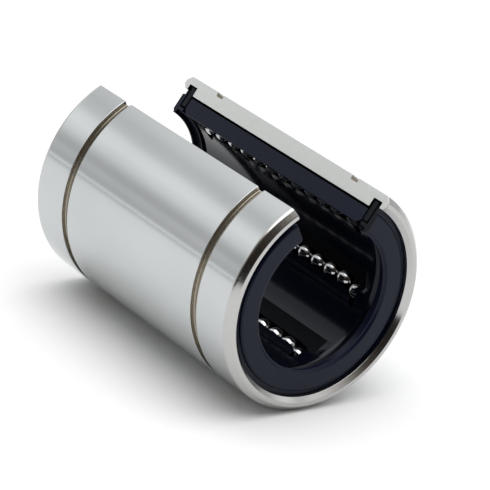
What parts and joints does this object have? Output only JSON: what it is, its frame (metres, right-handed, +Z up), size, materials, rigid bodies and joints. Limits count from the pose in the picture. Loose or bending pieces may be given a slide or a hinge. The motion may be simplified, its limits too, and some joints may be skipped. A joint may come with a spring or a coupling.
{
  "type": "linear ball bushing",
  "caption": "Open linear ball bushing: slotted steel sleeve with snap ring grooves, plastic ball retainer, recirculating ball circuits and end seals.",
  "frame": {"origin": "on the supporting surface under the middle of the sleeve, which lies on its side with the slot up; the shaft axis is 22.5 mm above it", "axes": "+X along the shaft axis towards the front end, +Z up out of the middle of the slot, +Y to complete the right-handed set"},
  "size_m": [0.064, 0.045, 0.0419],
  "materials": {
    "ground_steel": "fine ground hardened steel, satin bright",
    "retainer_plastic": "black moulded acetal, glossy in the bore",
    "ring_plastic": "black moulded plastic, dull",
    "seal_rubber": "black seal, satin",
    "ball_steel": "polished bearing steel"
  },
  "bodies": {
    "housing": {"outer_sleeve": "ground_steel", "ball_retainer": "retainer_plastic", "front_end_ring": "ring_plastic", "rear_end_ring": "ring_plastic", "front_end_seal": "seal_rubber", "rear_end_seal": "seal_rubber"},
    "circuit_1_loaded_row_balls": {"circuit_1_loaded_row": "ball_steel"},
    "circuit_1_return_row_balls": {"circuit_1_return_row": "ball_steel"},
    "circuit_1_front_turn_balls": {"circuit_1_front_turn": "ball_steel"},
    "circuit_1_rear_turn_balls": {"circuit_1_rear_turn": "ball_steel"},
    "circuit_2_loaded_row_balls": {"circuit_2_loaded_row": "ball_steel"},
    "circuit_2_return_row_balls": {"circuit_2_return_row": "ball_steel"},
    "circuit_2_front_turn_balls": {"circuit_2_front_turn": "ball_steel"},
    "circuit_2_rear_turn_balls": {"circuit_2_rear_turn": "ball_steel"},
    "circuit_3_loaded_row_balls": {"circuit_3_loaded_row": "ball_steel"},
    "circuit_3_return_row_balls": {"circuit_3_return_row": "ball_steel"},
    "circuit_3_front_turn_balls": {"circuit_3_front_turn": "ball_steel"},
    "circuit_3_rear_turn_balls": {"circuit_3_rear_turn": "ball_steel"},
    "circuit_4_loaded_row_balls": {"circuit_4_loaded_row": "ball_steel"},
    "circuit_4_return_row_balls": {"circuit_4_return_row": "ball_steel"},
    "circuit_4_front_turn_balls": {"circuit_4_front_turn": "ball_steel"},
    "circuit_4_rear_turn_balls": {"circuit_4_rear_turn": "ball_steel"},
    "circuit_5_loaded_row_balls": {"circuit_5_loaded_row": "ball_steel"},
    "circuit_5_return_row_balls": {"circuit_5_return_row": "ball_steel"},
    "circuit_5_front_turn_balls": {"circuit_5_front_turn": "ball_steel"},
    "circuit_5_rear_turn_balls": {"circuit_5_rear_turn": "ball_steel"}
  },
  "joints": [
    {"name": "circuit_1_loaded_slide", "type": "slide", "parent": "housing", "child": "circuit_1_loaded_row_balls", "axis": [1, 0, 0], "range_m": [-0.00204, 0.00204]},
    {"name": "circuit_1_return_slide", "type": "slide", "parent": "housing", "child": "circuit_1_return_row_balls", "axis": [1, 0, 0], "range_m": [-0.00204, 0.00204]},
    {"name": "circuit_1_front_turn_hinge", "type": "hinge", "parent": "housing", "child": "circuit_1_front_turn_balls", "pos_m": [0.0204, 0.01362, 0.03303], "axis": [0, 0.6793, 0.7339], "range_deg": [-38, 38]},
    {"name": "circuit_1_rear_turn_hinge", "type": "hinge", "parent": "housing", "child": "circuit_1_rear_turn_balls", "pos_m": [-0.0204, 0.01362, 0.03303], "axis": [0, 0.6793, 0.7339], "range_deg": [-38, 38]},
    {"name": "circuit_2_loaded_slide", "type": "slide", "parent": "housing", "child": "circuit_2_loaded_row_balls", "axis": [1, 0, 0], "range_m": [-0.00204, 0.00204]},
    {"name": "circuit_2_return_slide", "type": "slide", "parent": "housing", "child": "circuit_2_return_row_balls", "axis": [1, 0, 0], "range_m": [-0.00204, 0.00204]},
    {"name": "circuit_2_front_turn_hinge", "type": "hinge", "parent": "housing", "child": "circuit_2_front_turn_balls", "pos_m": [0.0204, 0.01593, 0.01597], "axis": [0, 0.9752, -0.2213], "range_deg": [-38, 38]},
    {"name": "circuit_2_rear_turn_hinge", "type": "hinge", "parent": "housing", "child": "circuit_2_rear_turn_balls", "pos_m": [-0.0204, 0.01593, 0.01597], "axis": [0, 0.9752, -0.2213], "range_deg": [-38, 38]},
    {"name": "circuit_3_loaded_slide", "type": "slide", "parent": "housing", "child": "circuit_3_loaded_row_balls", "axis": [1, 0, 0], "range_m": [-0.00204, 0.00204]},
    {"name": "circuit_3_return_slide", "type": "slide", "parent": "housing", "child": "circuit_3_return_row_balls", "axis": [1, 0, 0], "range_m": [-0.00204, 0.00204]},
    {"name": "circuit_3_front_turn_hinge", "type": "hinge", "parent": "housing", "child": "circuit_3_front_turn_balls", "pos_m": [0.0204, 0.00231, 0.00544], "axis": [0, 0.2959, -0.9552], "range_deg": [-38, 38]},
    {"name": "circuit_3_rear_turn_hinge", "type": "hinge", "parent": "housing", "child": "circuit_3_rear_turn_balls", "pos_m": [-0.0204, 0.00231, 0.00544], "axis": [0, 0.2959, -0.9552], "range_deg": [-38, 38]},
    {"name": "circuit_4_loaded_slide", "type": "slide", "parent": "housing", "child": "circuit_4_loaded_row_balls", "axis": [1, 0, 0], "range_m": [-0.00204, 0.00204]},
    {"name": "circuit_4_return_slide", "type": "slide", "parent": "housing", "child": "circuit_4_return_row_balls", "axis": [1, 0, 0], "range_m": [-0.00204, 0.00204]},
    {"name": "circuit_4_front_turn_hinge", "type": "hinge", "parent": "housing", "child": "circuit_4_front_turn_balls", "pos_m": [0.0204, -0.01362, 0.01197], "axis": [0, -0.6793, -0.7339], "range_deg": [-38, 38]},
    {"name": "circuit_4_rear_turn_hinge", "type": "hinge", "parent": "housing", "child": "circuit_4_rear_turn_balls", "pos_m": [-0.0204, -0.01362, 0.01197], "axis": [0, -0.6793, -0.7339], "range_deg": [-38, 38]},
    {"name": "circuit_5_loaded_slide", "type": "slide", "parent": "housing", "child": "circuit_5_loaded_row_balls", "axis": [1, 0, 0], "range_m": [-0.00204, 0.00204]},
    {"name": "circuit_5_return_slide", "type": "slide", "parent": "housing", "child": "circuit_5_return_row_balls", "axis": [1, 0, 0], "range_m": [-0.00204, 0.00204]},
    {"name": "circuit_5_front_turn_hinge", "type": "hinge", "parent": "housing", "child": "circuit_5_front_turn_balls", "pos_m": [0.0204, -0.01593, 0.02903], "axis": [0, -0.9752, 0.2213], "range_deg": [-38, 38]},
    {"name": "circuit_5_rear_turn_hinge", "type": "hinge", "parent": "housing", "child": "circuit_5_rear_turn_balls", "pos_m": [-0.0204, -0.01593, 0.02903], "axis": [0, -0.9752, 0.2213], "range_deg": [-38, 38]}
  ],
  "couplings": [
    {"joint": "circuit_1_return_slide", "follows": "circuit_1_loaded_slide", "ratio": -1},
    {"joint": "circuit_1_front_turn_hinge", "follows": "circuit_1_loaded_slide", "rad_per_m": 325.12},
    {"joint": "circuit_1_rear_turn_hinge", "follows": "circuit_1_loaded_slide", "rad_per_m": 325.12},
    {"joint": "circuit_2_return_slide", "follows": "circuit_2_loaded_slide", "ratio": -1},
    {"joint": "circuit_2_front_turn_hinge", "follows": "circuit_2_loaded_slide", "rad_per_m": 325.12},
    {"joint": "circuit_2_rear_turn_hinge", "follows": "circuit_2_loaded_slide", "rad_per_m": 325.12},
    {"joint": "circuit_3_return_slide", "follows": "circuit_3_loaded_slide", "ratio": -1},
    {"joint": "circuit_3_front_turn_hinge", "follows": "circuit_3_loaded_slide", "rad_per_m": 325.12},
    {"joint": "circuit_3_rear_turn_hinge", "follows": "circuit_3_loaded_slide", "rad_per_m": 325.12},
    {"joint": "circuit_4_return_slide", "follows": "circuit_4_loaded_slide", "ratio": -1},
    {"joint": "circuit_4_front_turn_hinge", "follows": "circuit_4_loaded_slide", "rad_per_m": 325.12},
    {"joint": "circuit_4_rear_turn_hinge", "follows": "circuit_4_loaded_slide", "rad_per_m": 325.12},
    {"joint": "circuit_5_return_slide", "follows": "circuit_5_loaded_slide", "ratio": -1},
    {"joint": "circuit_5_front_turn_hinge", "follows": "circuit_5_loaded_slide", "rad_per_m": 325.12},
    {"joint": "circuit_5_rear_turn_hinge", "follows": "circuit_5_loaded_slide", "rad_per_m": 325.12}
  ]
}
